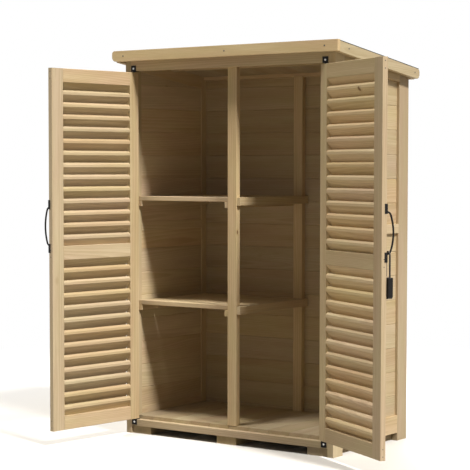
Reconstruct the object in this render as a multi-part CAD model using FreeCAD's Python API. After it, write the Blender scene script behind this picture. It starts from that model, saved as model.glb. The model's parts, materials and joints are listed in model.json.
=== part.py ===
import FreeCAD
import Part
import math
import os

from FreeCAD import Vector

# Garden storage cabinet in softwood: a framed body with a sloping felted roof, a front divider
# post, two half-width shelves and two louvred doors that turn on pins in corner brackets.
# Millimetres. X runs to the right seen from the front, Y to the back, Z up. The origin is on
# the ground in the middle of the body, at the centre of the middle skid's underside.
# The doors are modelled open, at the angles below.

# Body frame
BODY_WIDTH = 1024.0
BODY_DEPTH = 570.0
FRAME_THICKNESS = 28.0
FRONT_POST_WIDTH = 70.0
REAR_POST_WIDTH = 75.0
SIDE_RAIL_BOTTOM = 32.0
BOTTOM_RAIL_HEIGHT = 72.0
MIDDLE_RAIL_BOTTOM = 850.0
MIDDLE_RAIL_HEIGHT = 38.0
TOP_RAIL_HEIGHT = 54.0
BACK_STILE_WIDTH = 60.0
ARRIS = 1.0
SAW_MARGIN = 1.0

# Wall boards
BOARD_THICKNESS = 12.0
BOARD_PITCH = 98.5
BOARD_DATUM = 85.5
BOARD_CHAMFER = 2.0
NARROWEST_BOARD = 6.0
SIDE_BOARD_RECESS = 12.0
GROOVE_DEPTH = 10.0
TONGUE_LENGTH = 9.5

# Base and floor
SKID_WIDTH = 95.0
SKID_END_GAP = 8.0
SKID_POST_GAP = 1.0
FRONT_RAIL_DEPTH = 45.0
FRONT_RAIL_HEIGHT = 28.0
FLOOR_BEARER_WIDTH = 45.0
FLOOR_THICKNESS = 15.0
FLOOR_SETBACK = 25.5
FLOOR_BOARDS = 10
FLOOR_BOARD_GAP = 1.5
FLOOR_SIDE_GAP = 1.0

# Front opening, divider and shelves
LINTEL_DROP = 83.5
LINTEL_THICKNESS = 24.0
DIVIDER_CENTRE = 16.0
DIVIDER_WIDTH = 44.0
DIVIDER_THICKNESS = 24.0
SHELF_TOPS = {"upper": 996.5, "lower": 559.0}
SHELF_THICKNESS = 18.0
SHELF_SLATS = 5
SHELF_SLAT_GAP = 7.5
SHELF_SETBACK = 50.0
SHELF_END_GAP = 0.5
BEARER_WIDTH = 16.0
BEARER_HEIGHT = 24.0
END_BEARER_HEIGHT = 32.0
BEARER_SETBACK = 2.0

# Roof
ROOF_HEIGHT = 1600.0
ROOF_FALL = 81.0
ROOF_FRONT_OVERHANG = 38.0
ROOF_SIDE_OVERHANG = 34.0
ROOF_REAR_OVERHANG = 20.0
FASCIA_OVERRUN = 8.0
FASCIA_HEIGHT = 44.0
FASCIA_THICKNESS = 20.0
FASCIA_TOP_RADIUS = 13.0
FASCIA_BOTTOM_RADIUS = 20.0
FELT_THICKNESS = 3.0
DECK_THICKNESS = 12.0
DECK_BOARDS = 11
ROOF_BATTEN_HEIGHT = 14.0
ROOF_BATTEN_WIDTH = 18.0
ROOF_SEAT_GAP = 0.3

# Doors
DOOR_THICKNESS = 21.0
DOOR_PROUD = 3.0
DOOR_HINGE_GAP = 4.0
DOOR_MEETING_GAP = 4.0
DOOR_HEAD_GAP = 6.5
DOOR_SILL_GAP = 4.0
HINGE_STILE_WIDTH = 50.0
LOCK_STILE_WIDTH = 60.0
DOOR_RAIL_HEIGHT = 55.0
DOOR_MIDDLE_RAIL_BOTTOM = 747.5
DOOR_MIDDLE_RAIL_HEIGHT = 56.0
UPPER_SLATS = 14
LOWER_SLATS = 13
SLAT_THICKNESS = 17.5
SLAT_TILT = 52.0
SLAT_NOSE_INSET = 0.7
SLAT_NOSE_FACE = 10.0
SLAT_BEVEL_SLOPE = 42.0
SLAT_PROUD = 10.0
SLAT_DRIP_RADIUS = 0.8
SLAT_RAIL_GAP = 1.0
LEFT_DOOR_ANGLE = 97.0
RIGHT_DOOR_ANGLE = 149.6

# Hinge brackets, pins and screws
PIVOT_INSET = 11.0
PIVOT_SETBACK = 5.0
BRACKET_WIDTH = 25.0
BRACKET_LEG = 25.0
BRACKET_THICKNESS = 2.0
PIN_RADIUS = 2.5
PIN_CLEARANCE = 0.05
PIN_DEPTH = 20.0
PIN_END_GAP = 1.0
COLLAR_RADIUS = 4.5
COLLAR_GAP = 0.3
SCREW_HEAD_RADIUS = 4.5
SCREW_HEAD_HEIGHT = 2.4
SCREW_SHANK_RADIUS = 1.9
SCREW_LENGTH = 18.0
SCREW_HOLE_CLEARANCE = 0.05
SLOT_LENGTH_SHARE = 1.1
SLOT_WIDTH_SHARE = 0.22
SLOT_DEPTH_SHARE = 0.45
NAIL_HEAD_RADIUS = 3.0
NAIL_HEAD_HEIGHT = 0.8
NAIL_SHANK_RADIUS = 1.4
NAIL_BITE = 8.0
NAIL_DEPTH_BELOW_TOP = 22.0
FRONT_NAIL_LEFT_INSET = 51.0
FRONT_NAIL_RIGHT_INSET = 58.0
FRONT_NAIL_MIDDLE = 20.0
SIDE_NAIL_FRONT = 83.0
SIDE_NAIL_REAR = 30.0

# Handles
HANDLE_EDGE_INSET = 9.0
HANDLE_TOP = 988.0
HANDLE_LENGTH = 210.0
FOOT_HEIGHT = 36.0
FOOT_WIDTH = 17.0
FOOT_THICKNESS = 3.0
FOOT_EDGE_WRAP = 9.0
FOOT_EDGE_THICKNESS = 1.2
ROD_RADIUS = 3.5
ROD_END_INSET = 6.0
ROD_STUB = 4.0
ROD_BEND_RADIUS = 14.0
ROD_BOW_ANGLE = 20.0
HANDLE_SCREW_RADIUS = 3.2
HANDLE_SCREW_HEIGHT = 1.6
HANDLE_SCREW_SHANK = 1.6
HANDLE_SCREW_LENGTH = 17.0
HANDLE_SCREW_OFFSETS = (8.0, 20.0)

# Padlock, hanging open from the lower end of the right handle
LOCK_WIDTH = 42.0
LOCK_HEIGHT = 76.0
LOCK_THICKNESS = 18.0
LOCK_DOOR_GAP = 1.5
LOCK_BOTTOM_RADIUS = 12.0
LOCK_EDGE_RADIUS = 2.0
SHACKLE_ROD_RADIUS = 3.25
SHACKLE_CLEAR_WIDTH = 20.0
SHACKLE_HANG_GAP = 0.3
SHACKLE_LEG_LENGTH = 79.0
SHACKLE_TRAVEL = 14.0
SHACKLE_BITE = 16.0
SHORT_LEG_GAP = 4.0
SHACKLE_CLEARANCE = 0.08
PLUG_RADIUS = 9.5
PLUG_HEIGHT = 19.0
PLUG_PROUD = 0.8
KEYWAY_WIDTH = 1.8
KEYWAY_HEIGHT = 8.0
KEYWAY_DEPTH = 5.0

# Values that follow from the sizes above
FRONT = -BODY_DEPTH / 2
BACK = BODY_DEPTH / 2
OUTER = BODY_WIDTH / 2
INNER = OUTER - FRAME_THICKNESS
BOARD_OUTER = OUTER - SIDE_BOARD_RECESS
BOARD_INNER = BOARD_OUTER - BOARD_THICKNESS
ROOF_FRONT = FRONT - ROOF_FRONT_OVERHANG
ROOF_BACK = BACK + ROOF_REAR_OVERHANG
ROOF_SIDE = OUTER + ROOF_SIDE_OVERHANG
FASCIA_BACK_FACE = ROOF_FRONT + FASCIA_THICKNESS
SIDE_FASCIA_END = ROOF_BACK + FASCIA_OVERRUN
ROOF_SLOPE = ROOF_FALL / (SIDE_FASCIA_END - ROOF_FRONT)
DECK_UNDERSIDE = FELT_THICKNESS + DECK_THICKNESS
BATTEN_UNDERSIDE = DECK_UNDERSIDE + ROOF_BATTEN_HEIGHT
SIDE_RAIL_FRONT = FRONT + FRONT_POST_WIDTH
SIDE_RAIL_BACK = BACK - REAR_POST_WIDTH
BACK_FRAME_FACE = BACK - FRAME_THICKNESS
BACK_WALL_FACE = BACK_FRAME_FACE - BOARD_THICKNESS
FLOOR_BOTTOM = SIDE_RAIL_BOTTOM + FRONT_RAIL_HEIGHT
FLOOR_TOP = FLOOR_BOTTOM + FLOOR_THICKNESS
FLOOR_FRONT = FRONT + FLOOR_SETBACK
DIVIDER_LEFT = DIVIDER_CENTRE - DIVIDER_WIDTH / 2
DIVIDER_RIGHT = DIVIDER_CENTRE + DIVIDER_WIDTH / 2
DIVIDER_FRONT = FRONT + LINTEL_THICKNESS
LINTEL_BOTTOM = ROOF_HEIGHT - LINTEL_DROP
DOOR_BOTTOM = FLOOR_BOTTOM + DOOR_SILL_GAP
DOOR_TOP = LINTEL_BOTTOM - DOOR_HEAD_GAP
DOOR_WIDTH = INNER - DOOR_HINGE_GAP - DOOR_MEETING_GAP / 2
HINGE_EDGE = INNER - DOOR_HINGE_GAP
PIVOT_X = HINGE_EDGE - PIVOT_INSET
DOOR_FACE = FRONT - DOOR_PROUD
PIVOT_Y = DOOR_FACE + PIVOT_SETBACK
HANDLE_LINE = DOOR_WIDTH - HANDLE_EDGE_INSET
HANDLE_BOTTOM = HANDLE_TOP - HANDLE_LENGTH
X_AXIS = Vector(1, 0, 0)
Y_AXIS = Vector(0, 1, 0)
Z_AXIS = Vector(0, 0, 1)


def roof_line(y, drop=0.0):
    """Height of the roof plane at depth y, less a drop measured straight down."""
    return ROOF_HEIGHT - ROOF_SLOPE * (y - ROOF_FRONT) - drop


def box(x0, x1, y0, y1, z0, z1):
    """Box between two corners."""
    return Part.makeBox(x1 - x0, y1 - y0, z1 - z0, Vector(x0, y0, z0))


def prism(points, direction):
    """Solid from a closed outline swept straight along a vector."""
    outline = Part.makePolygon(points + [points[0]])
    return Part.Face(outline).extrude(direction)


def chamfered_outline(a0, a1, b0, b1, cut):
    """Corner points of a rectangle whose four corners are cut at 45 degrees."""
    return [
        (a0 + cut, b0), (a1 - cut, b0), (a1, b0 + cut), (a1, b1 - cut),
        (a1 - cut, b1), (a0 + cut, b1), (a0, b1 - cut), (a0, b0 + cut),
    ]


def timber_x(x0, x1, y0, y1, z0, z1, cut=ARRIS):
    """Planed timber that runs along X, with its four long edges eased."""
    outline = [Vector(x0, y, z) for y, z in chamfered_outline(y0, y1, z0, z1, cut)]
    return prism(outline, Vector(x1 - x0, 0, 0))


def timber_y(x0, x1, y0, y1, z0, z1, cut=ARRIS):
    """Planed timber that runs along Y, with its four long edges eased."""
    outline = [Vector(x, y0, z) for x, z in chamfered_outline(x0, x1, z0, z1, cut)]
    return prism(outline, Vector(0, y1 - y0, 0))


def timber_z(x0, x1, y0, y1, z0, z1, cut=ARRIS):
    """Planed timber that stands upright, with its four long edges eased."""
    outline = [Vector(x, y, z0) for x, y in chamfered_outline(x0, x1, y0, y1, cut)]
    return prism(outline, Vector(0, 0, z1 - z0))


def roof_layer(x0, x1, y0, y1, upper_drop, lower_drop):
    """Slab that follows the roof slope between two drops below the roof plane."""
    outline = [
        Vector(x0, y0, roof_line(y0, lower_drop)),
        Vector(x0, y1, roof_line(y1, lower_drop)),
        Vector(x0, y1, roof_line(y1, upper_drop)),
        Vector(x0, y0, roof_line(y0, upper_drop)),
    ]
    return prism(outline, Vector(x1 - x0, 0, 0))


def cut_to_roof(shape, drop=DECK_UNDERSIDE):
    """Shape with everything above a plane parallel to the roof sawn off."""
    room = shape.BoundBox
    waste = roof_layer(
        room.XMin - SAW_MARGIN, room.XMax + SAW_MARGIN, room.YMin - SAW_MARGIN,
        room.YMax + SAW_MARGIN, -ROOF_HEIGHT, drop,
    )
    return shape.cut(waste)


def round_edges(shape, radius, wanted):
    """Shape with the edges that pass a test rounded."""
    edges = [edge for edge in shape.Edges if wanted(edge)]
    return shape.makeFillet(radius, edges)


def edge_at(axis, first, second, tolerance=0.01):
    """Test for a straight edge along an axis that goes through two coordinates."""
    others = [i for i in range(3) if i != axis]

    def wanted(edge):
        ends = [tuple(vertex.Point) for vertex in edge.Vertexes]
        along = abs(ends[0][axis] - ends[-1][axis]) > tolerance
        return along and all(
            abs(end[others[0]] - first) < tolerance and abs(end[others[1]] - second) < tolerance
            for end in ends
        )

    return wanted


def mirrored(shape):
    """Copy on the other side of the cabinet."""
    return shape.mirror(Vector(0, 0, 0), X_AXIS)


def solids_of(shape):
    """Flat list of the solids in a shape or in a list of shapes."""
    shapes = shape if isinstance(shape, list) else [shape]
    return [solid for item in shapes for solid in item.Solids]


def save(name, shape):
    """Write one node as a STEP file, one solid for each separate piece in it."""
    solids = solids_of(shape)
    node = solids[0] if len(solids) == 1 else Part.makeCompound(solids)
    node.exportStep("parts/" + name + ".step")


def screw(head_radius, head_height, shank_radius, length):
    """Pan-head screw pointing along -Z with the underside of its head at z = 0."""
    crown_radius = (head_radius ** 2 + head_height ** 2) / (2 * head_height)
    crown = Part.makeSphere(crown_radius, Vector(0, 0, head_height - crown_radius))
    head = crown.common(Part.makeCylinder(head_radius, head_height))
    shank = Part.makeCylinder(shank_radius, length, Vector(0, 0, -length))
    slot_length = head_radius * SLOT_LENGTH_SHARE
    slot_width = head_radius * SLOT_WIDTH_SHARE
    slot_depth = head_height * SLOT_DEPTH_SHARE
    cross = box(
        -slot_length / 2, slot_length / 2, -slot_width / 2, slot_width / 2,
        head_height - slot_depth, head_height,
    )
    turned = cross.copy()
    turned.rotate(Vector(0, 0, 0), Z_AXIS, 90)
    return head.fuse(shank).removeSplitter().cut(cross.fuse(turned))


def aim(shape, position, direction):
    """Shape built along +Z, turned to a direction and moved to a position."""
    placed = shape.copy()
    turn = FreeCAD.Rotation(Z_AXIS, direction)
    placed.Placement = FreeCAD.Placement(position, turn)
    return placed


def drill(position, direction, depth, radius):
    """Tool for a round hole from a surface point into the material."""
    return Part.makeCylinder(radius, depth, position, direction)


def side_posts():
    """Right-hand front and rear posts, grooved for the rails and boards between them."""
    groove_low = SIDE_RAIL_BOTTOM
    front = timber_z(INNER, OUTER, FRONT, SIDE_RAIL_FRONT, 0, ROOF_HEIGHT)
    front = front.cut(box(
        BOARD_INNER, BOARD_OUTER, SIDE_RAIL_FRONT - GROOVE_DEPTH, SIDE_RAIL_FRONT,
        groove_low, ROOF_HEIGHT,
    ))
    rear = timber_z(INNER, OUTER, SIDE_RAIL_BACK, BACK, 0, ROOF_HEIGHT)
    rear = rear.cut(box(
        BOARD_INNER, BOARD_OUTER, SIDE_RAIL_BACK, SIDE_RAIL_BACK + GROOVE_DEPTH,
        groove_low, ROOF_HEIGHT,
    ))
    return cut_to_roof(front), cut_to_roof(rear)


def side_rail(bottom, top, groove_below, groove_above):
    """Right-hand side rail with stub tenons, and grooves for the boards below and above it."""
    rail = timber_y(INNER, OUTER, SIDE_RAIL_FRONT, SIDE_RAIL_BACK, bottom, top)
    if groove_below:
        rail = rail.cut(box(
            BOARD_INNER, BOARD_OUTER, SIDE_RAIL_FRONT, SIDE_RAIL_BACK, bottom, bottom + GROOVE_DEPTH,
        ))
    if groove_above:
        rail = rail.cut(box(
            BOARD_INNER, BOARD_OUTER, SIDE_RAIL_FRONT, SIDE_RAIL_BACK, top - GROOVE_DEPTH, top,
        ))
    tenon_bottom = bottom + (GROOVE_DEPTH if groove_below else 0)
    tenon_top = top - (GROOVE_DEPTH if groove_above else 0)
    tenon = box(
        BOARD_INNER, BOARD_OUTER, SIDE_RAIL_FRONT - TONGUE_LENGTH, SIDE_RAIL_BACK + TONGUE_LENGTH,
        tenon_bottom, tenon_top,
    )
    return rail.fuse(tenon).removeSplitter()


def side_top_rail():
    """Right-hand top rail, which follows the roof slope and is grooved underneath."""
    drop = DECK_UNDERSIDE + TOP_RAIL_HEIGHT
    rail = roof_layer(INNER, OUTER, SIDE_RAIL_FRONT, SIDE_RAIL_BACK, DECK_UNDERSIDE, drop)
    groove = roof_layer(
        BOARD_INNER, BOARD_OUTER, SIDE_RAIL_FRONT, SIDE_RAIL_BACK, drop - GROOVE_DEPTH, drop,
    )
    tenon = roof_layer(
        BOARD_INNER, BOARD_OUTER, SIDE_RAIL_FRONT - TONGUE_LENGTH, SIDE_RAIL_BACK + TONGUE_LENGTH,
        DECK_UNDERSIDE, drop - GROOVE_DEPTH,
    )
    return rail.cut(groove).fuse(tenon).removeSplitter()


def side_boards():
    """Right-hand wall boards in both panels, laid level and held in the grooves."""
    y0 = SIDE_RAIL_FRONT - TONGUE_LENGTH
    y1 = SIDE_RAIL_BACK + TONGUE_LENGTH
    panels = [
        (SIDE_RAIL_BOTTOM + BOTTOM_RAIL_HEIGHT - TONGUE_LENGTH, MIDDLE_RAIL_BOTTOM + TONGUE_LENGTH),
        (MIDDLE_RAIL_BOTTOM + MIDDLE_RAIL_HEIGHT - TONGUE_LENGTH, ROOF_HEIGHT),
    ]
    boards = []
    for bottom, top in panels:
        for z0, z1 in courses(bottom, top):
            board = timber_y(BOARD_INNER, BOARD_OUTER, y0, y1, z0, z1, BOARD_CHAMFER)
            boards.append(cut_to_roof(board, DECK_UNDERSIDE + TOP_RAIL_HEIGHT - TONGUE_LENGTH))
    return solids_of(boards)


def courses(bottom, top):
    """Lower and upper edges of the board courses that fill a wall from bottom to top."""
    first = math.floor((bottom - BOARD_DATUM) / BOARD_PITCH)
    last = math.ceil((top - BOARD_DATUM) / BOARD_PITCH)
    spans = []
    for course in range(first, last):
        z0 = max(bottom, BOARD_DATUM + course * BOARD_PITCH)
        z1 = min(top, BOARD_DATUM + (course + 1) * BOARD_PITCH)
        if z1 - z0 > NARROWEST_BOARD:
            spans.append((z0, z1))
    return spans


def back_frame():
    """Stiles and rails of the back panel, between the rear posts."""
    stile_inner = INNER - BACK_STILE_WIDTH
    right_stile = cut_to_roof(timber_z(
        stile_inner, INNER, BACK_FRAME_FACE, BACK, SIDE_RAIL_BOTTOM, ROOF_HEIGHT,
    ))
    levels = {
        "back_bottom_rail": (SIDE_RAIL_BOTTOM, SIDE_RAIL_BOTTOM + BOTTOM_RAIL_HEIGHT),
        "back_middle_rail": (MIDDLE_RAIL_BOTTOM, MIDDLE_RAIL_BOTTOM + MIDDLE_RAIL_HEIGHT),
        "back_top_rail": (roof_line(BACK, DECK_UNDERSIDE + TOP_RAIL_HEIGHT), ROOF_HEIGHT),
    }
    frame = {
        name: cut_to_roof(timber_x(-stile_inner, stile_inner, BACK_FRAME_FACE, BACK, z0, z1))
        for name, (z0, z1) in levels.items()
    }
    frame["back_right_stile"] = right_stile
    frame["back_left_stile"] = mirrored(right_stile)
    return frame


def back_boards():
    """Level boards nailed to the inner face of the back frame."""
    boards = [
        cut_to_roof(timber_x(-INNER, INNER, BACK_WALL_FACE, BACK_FRAME_FACE, z0, z1, BOARD_CHAMFER))
        for z0, z1 in courses(SIDE_RAIL_BOTTOM, ROOF_HEIGHT)
        if z0 < roof_line(BACK_WALL_FACE, DECK_UNDERSIDE)
    ]
    return solids_of(boards)


def base_and_floor():
    """Skids on the ground, the rail and bearers across them, and the floor boards."""
    pieces = {}
    outer_skid = INNER - SKID_POST_GAP
    skid_places = {
        "left_skid": -outer_skid,
        "middle_skid": -SKID_WIDTH / 2,
        "right_skid": outer_skid - SKID_WIDTH,
    }
    for name, x0 in skid_places.items():
        pieces[name] = timber_y(
            x0, x0 + SKID_WIDTH, FRONT + SKID_END_GAP, BACK - SKID_END_GAP, 0, SIDE_RAIL_BOTTOM,
        )
    rail = timber_x(-INNER, INNER, FRONT, FRONT + FRONT_RAIL_DEPTH, SIDE_RAIL_BOTTOM, FLOOR_BOTTOM)
    for side in (-1, 1):
        rail = rail.cut(bracket_screw_hole(side, FLOOR_BOTTOM + BRACKET_THICKNESS - BRACKET_LEG / 2))
    pieces["front_bottom_rail"] = rail
    middle = (FRONT + BACK_WALL_FACE) / 2
    bearer_fronts = (middle - FLOOR_BEARER_WIDTH / 2, BACK_WALL_FACE - FLOOR_BEARER_WIDTH)
    pieces["floor_bearers"] = [
        timber_x(-INNER, INNER, y0, y0 + FLOOR_BEARER_WIDTH, SIDE_RAIL_BOTTOM, FLOOR_BOTTOM)
        for y0 in bearer_fronts
    ]
    span = 2 * (INNER - FLOOR_SIDE_GAP)
    width = (span - (FLOOR_BOARDS - 1) * FLOOR_BOARD_GAP) / FLOOR_BOARDS
    pieces["floor_boards"] = [
        timber_y(x0, x0 + width, FLOOR_FRONT, BACK_WALL_FACE, FLOOR_BOTTOM, FLOOR_TOP)
        for x0 in (
            -span / 2 + board * (width + FLOOR_BOARD_GAP) for board in range(FLOOR_BOARDS)
        )
    ]
    return pieces


def lintel():
    """Head of the front opening, between the front posts and up to the roof."""
    head = timber_x(-INNER, INNER, FRONT, DIVIDER_FRONT, LINTEL_BOTTOM, ROOF_HEIGHT)
    for side in (-1, 1):
        head = head.cut(bracket_screw_hole(side, LINTEL_BOTTOM - BRACKET_THICKNESS + BRACKET_LEG / 2))
    return cut_to_roof(head)


def divider():
    """Front post and rear batten that carry the inner ends of the shelves."""
    post = timber_z(
        DIVIDER_LEFT, DIVIDER_RIGHT, DIVIDER_FRONT, DIVIDER_FRONT + DIVIDER_THICKNESS,
        FLOOR_TOP, ROOF_HEIGHT,
    )
    batten = timber_z(
        DIVIDER_LEFT, DIVIDER_RIGHT, BACK_WALL_FACE - DIVIDER_THICKNESS, BACK_WALL_FACE,
        FLOOR_TOP, ROOF_HEIGHT,
    )
    return {
        "divider_front_post": cut_to_roof(post),
        "divider_rear_batten": cut_to_roof(batten, BATTEN_UNDERSIDE),
    }


def shelf(name, top):
    """Slats of one shelf, and the three bearers that carry and close them."""
    bottom = top - SHELF_THICKNESS
    front = FRONT + SHELF_SETBACK
    left = -INNER + SHELF_END_GAP
    right = DIVIDER_RIGHT - SHELF_END_GAP
    depth = BACK_WALL_FACE - front
    width = (depth - (SHELF_SLATS - 1) * SHELF_SLAT_GAP) / SHELF_SLATS
    batten_room = box(
        DIVIDER_LEFT - SHELF_END_GAP, DIVIDER_RIGHT, BACK_WALL_FACE - DIVIDER_THICKNESS - SHELF_END_GAP,
        BACK_WALL_FACE, bottom, top,
    )
    slats = []
    for slat in range(SHELF_SLATS):
        y0 = front + slat * (width + SHELF_SLAT_GAP)
        slats.append(timber_x(left, right, y0, y0 + width, bottom, top).cut(batten_room))
    bearer_front = DIVIDER_FRONT + BEARER_SETBACK
    bearers = [
        timber_y(-INNER, -INNER + BEARER_WIDTH, front, BACK_WALL_FACE, bottom - BEARER_HEIGHT, bottom),
        timber_y(
            DIVIDER_LEFT - BEARER_WIDTH, DIVIDER_LEFT, bearer_front, BACK_WALL_FACE,
            bottom - BEARER_HEIGHT, bottom,
        ),
        timber_y(
            DIVIDER_RIGHT, DIVIDER_RIGHT + BEARER_WIDTH, bearer_front, BACK_WALL_FACE,
            top - END_BEARER_HEIGHT, top,
        ),
    ]
    return {name + "_shelf_slats": slats, name + "_shelf_bearers": bearers}


def roof_deck():
    """Roof boards that run down the slope, the battens under them and the felt on top."""
    inner_side = ROOF_SIDE - FASCIA_THICKNESS
    width = 2 * inner_side / DECK_BOARDS
    boards = [
        roof_layer(
            -inner_side + board * width, -inner_side + (board + 1) * width,
            FASCIA_BACK_FACE, BACK, FELT_THICKNESS, DECK_UNDERSIDE,
        )
        for board in range(DECK_BOARDS)
    ]
    drops = (DECK_UNDERSIDE, BATTEN_UNDERSIDE)
    body_side = OUTER + ROOF_SEAT_GAP
    front_batten_back = FRONT - ROOF_SEAT_GAP
    inner_x = INNER - ROOF_SEAT_GAP
    inner_fronts = (
        -ROOF_BATTEN_WIDTH / 2,
        BACK_WALL_FACE - ROOF_SEAT_GAP - ROOF_BATTEN_WIDTH,
    )
    right_batten = roof_layer(body_side, inner_side, front_batten_back, BACK, *drops)
    battens = [
        roof_layer(-inner_side, inner_side, FASCIA_BACK_FACE, front_batten_back, *drops),
        right_batten,
        mirrored(right_batten),
    ]
    for y0 in inner_fronts:
        battens.append(roof_layer(-inner_x, inner_x, y0, y0 + ROOF_BATTEN_WIDTH, *drops))
    nail_holes = fascia_nail_holes()
    felt = roof_layer(-ROOF_SIDE, ROOF_SIDE, FASCIA_BACK_FACE, ROOF_BACK, 0, FELT_THICKNESS)
    return {
        "roof_boards": boards,
        "roof_battens": [batten.cut(nail_holes) for batten in battens],
        "roof_felt": felt,
    }


def fascias():
    """Four edge boards of the roof, nailed through their faces."""
    holes = fascia_nail_holes()
    left_end = -ROOF_SIDE - FASCIA_OVERRUN
    bottom = ROOF_HEIGHT - FASCIA_HEIGHT
    front = box(left_end, ROOF_SIDE, ROOF_FRONT, FASCIA_BACK_FACE, bottom, ROOF_HEIGHT)
    front = round_edges(front, FASCIA_TOP_RADIUS, edge_at(1, left_end, ROOF_HEIGHT))
    front = round_edges(front, FASCIA_BOTTOM_RADIUS, edge_at(1, left_end, bottom))
    right = roof_layer(
        ROOF_SIDE - FASCIA_THICKNESS, ROOF_SIDE, FASCIA_BACK_FACE, SIDE_FASCIA_END,
        FELT_THICKNESS, FASCIA_HEIGHT,
    )
    end = SIDE_FASCIA_END
    right = round_edges(right, FASCIA_TOP_RADIUS, edge_at(0, end, roof_line(end, FELT_THICKNESS)))
    right = round_edges(right, FASCIA_BOTTOM_RADIUS, edge_at(0, end, roof_line(end, FASCIA_HEIGHT)))
    inner_side = ROOF_SIDE - FASCIA_THICKNESS
    rear = roof_layer(-inner_side, inner_side, BACK, ROOF_BACK, FELT_THICKNESS, FASCIA_HEIGHT)
    return {
        "front_fascia": front.cut(holes),
        "right_fascia": right.cut(holes),
        "left_fascia": mirrored(right).cut(holes),
        "rear_fascia": rear,
    }


def fascia_nail_places():
    """Head positions and outward directions of the nails in the front and side fascias."""
    places = [
        (Vector(x, ROOF_FRONT, ROOF_HEIGHT - NAIL_DEPTH_BELOW_TOP), Vector(0, -1, 0))
        for x in (
            -ROOF_SIDE + FRONT_NAIL_LEFT_INSET, FRONT_NAIL_MIDDLE, ROOF_SIDE - FRONT_NAIL_RIGHT_INSET,
        )
    ]
    for y in (ROOF_FRONT + SIDE_NAIL_FRONT, ROOF_BACK - SIDE_NAIL_REAR):
        height = roof_line(y, NAIL_DEPTH_BELOW_TOP)
        places.append((Vector(ROOF_SIDE, y, height), Vector(1, 0, 0)))
        places.append((Vector(-ROOF_SIDE, y, height), Vector(-1, 0, 0)))
    return places


def fascia_nails():
    """Round-head nails through the fascias into the roof battens."""
    length = FASCIA_THICKNESS + NAIL_BITE
    nail = Part.makeCylinder(NAIL_HEAD_RADIUS, NAIL_HEAD_HEIGHT).fuse(
        Part.makeCylinder(NAIL_SHANK_RADIUS, length, Vector(0, 0, -length))
    ).removeSplitter()
    return [aim(nail, position, outward) for position, outward in fascia_nail_places()]


def fascia_nail_holes():
    """Tools for the holes that the nails fill."""
    radius = NAIL_SHANK_RADIUS + SCREW_HOLE_CLEARANCE
    depth = FASCIA_THICKNESS + NAIL_BITE + PIN_END_GAP
    holes = [drill(at, outward * -1, depth, radius) for at, outward in fascia_nail_places()]
    return Part.makeCompound(holes)


def bracket_screw_hole(side, height):
    """Tool for the screw hole behind one hinge bracket, from its outer face inwards."""
    start = Vector(side * PIVOT_X, FRONT - BRACKET_THICKNESS, height)
    depth = SCREW_LENGTH + PIN_END_GAP
    return drill(start, Y_AXIS, depth, SCREW_SHANK_RADIUS + SCREW_HOLE_CLEARANCE)


def hinge_brackets():
    """Corner brackets above and below each door, with the pins that the doors turn on."""
    x0 = PIVOT_X - BRACKET_WIDTH / 2
    x1 = PIVOT_X + BRACKET_WIDTH / 2
    face = FRONT - BRACKET_THICKNESS
    tip = face + BRACKET_LEG
    upper = LINTEL_BOTTOM - BRACKET_THICKNESS
    lower = FLOOR_BOTTOM + BRACKET_THICKNESS
    pivot = Vector(PIVOT_X, PIVOT_Y, 0)
    top = box(x0, x1, face, FRONT, upper, upper + BRACKET_LEG)
    top = top.fuse(box(x0, x1, face, tip, upper, LINTEL_BOTTOM))
    pin_top = upper - DOOR_TOP + PIN_DEPTH
    top = top.fuse(Part.makeCylinder(PIN_RADIUS, pin_top, pivot + Vector(0, 0, upper - pin_top)))
    top = top.cut(bracket_screw_hole(1, upper + BRACKET_LEG / 2)).removeSplitter()
    bottom = box(x0, x1, face, FRONT, lower - BRACKET_LEG, lower)
    bottom = bottom.fuse(box(x0, x1, face, tip, FLOOR_BOTTOM, lower))
    pin_low = DOOR_BOTTOM - lower + PIN_DEPTH
    bottom = bottom.fuse(Part.makeCylinder(PIN_RADIUS, pin_low, pivot + Vector(0, 0, lower)))
    collar = DOOR_BOTTOM - COLLAR_GAP - lower
    bottom = bottom.fuse(Part.makeCylinder(COLLAR_RADIUS, collar, pivot + Vector(0, 0, lower)))
    bottom = bottom.cut(bracket_screw_hole(1, lower - BRACKET_LEG / 2)).removeSplitter()
    return [top, bottom, mirrored(top), mirrored(bottom)]


def hinge_screws():
    """One screw in the face of each hinge bracket."""
    form = screw(SCREW_HEAD_RADIUS, SCREW_HEAD_HEIGHT, SCREW_SHANK_RADIUS, SCREW_LENGTH)
    heights = (
        LINTEL_BOTTOM - BRACKET_THICKNESS + BRACKET_LEG / 2,
        FLOOR_BOTTOM + BRACKET_THICKNESS - BRACKET_LEG / 2,
    )
    return [
        aim(form, Vector(side * PIVOT_X, FRONT - BRACKET_THICKNESS, height), Vector(0, -1, 0))
        for side in (-1, 1)
        for height in heights
    ]


# Each door is built as the left door, closed. Its own directions are u, from the hinge edge to
# the free edge, v, from its outer face to its inner face, and z up. hang_door then mirrors it
# where it is the right door, and swings it open.

def door_point(u, v, z):
    """Point of the closed left door."""
    return Vector(-HINGE_EDGE + u, DOOR_FACE + v, z)


def door_stick(u0, u1, z0, z1, upright):
    """One stile or rail of a door frame, with eased edges."""
    low = door_point(u0, 0, z0)
    high = door_point(u1, DOOR_THICKNESS, z1)
    make = timber_z if upright else timber_x
    return make(low.x, high.x, low.y, high.y, low.z, high.z)


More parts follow.
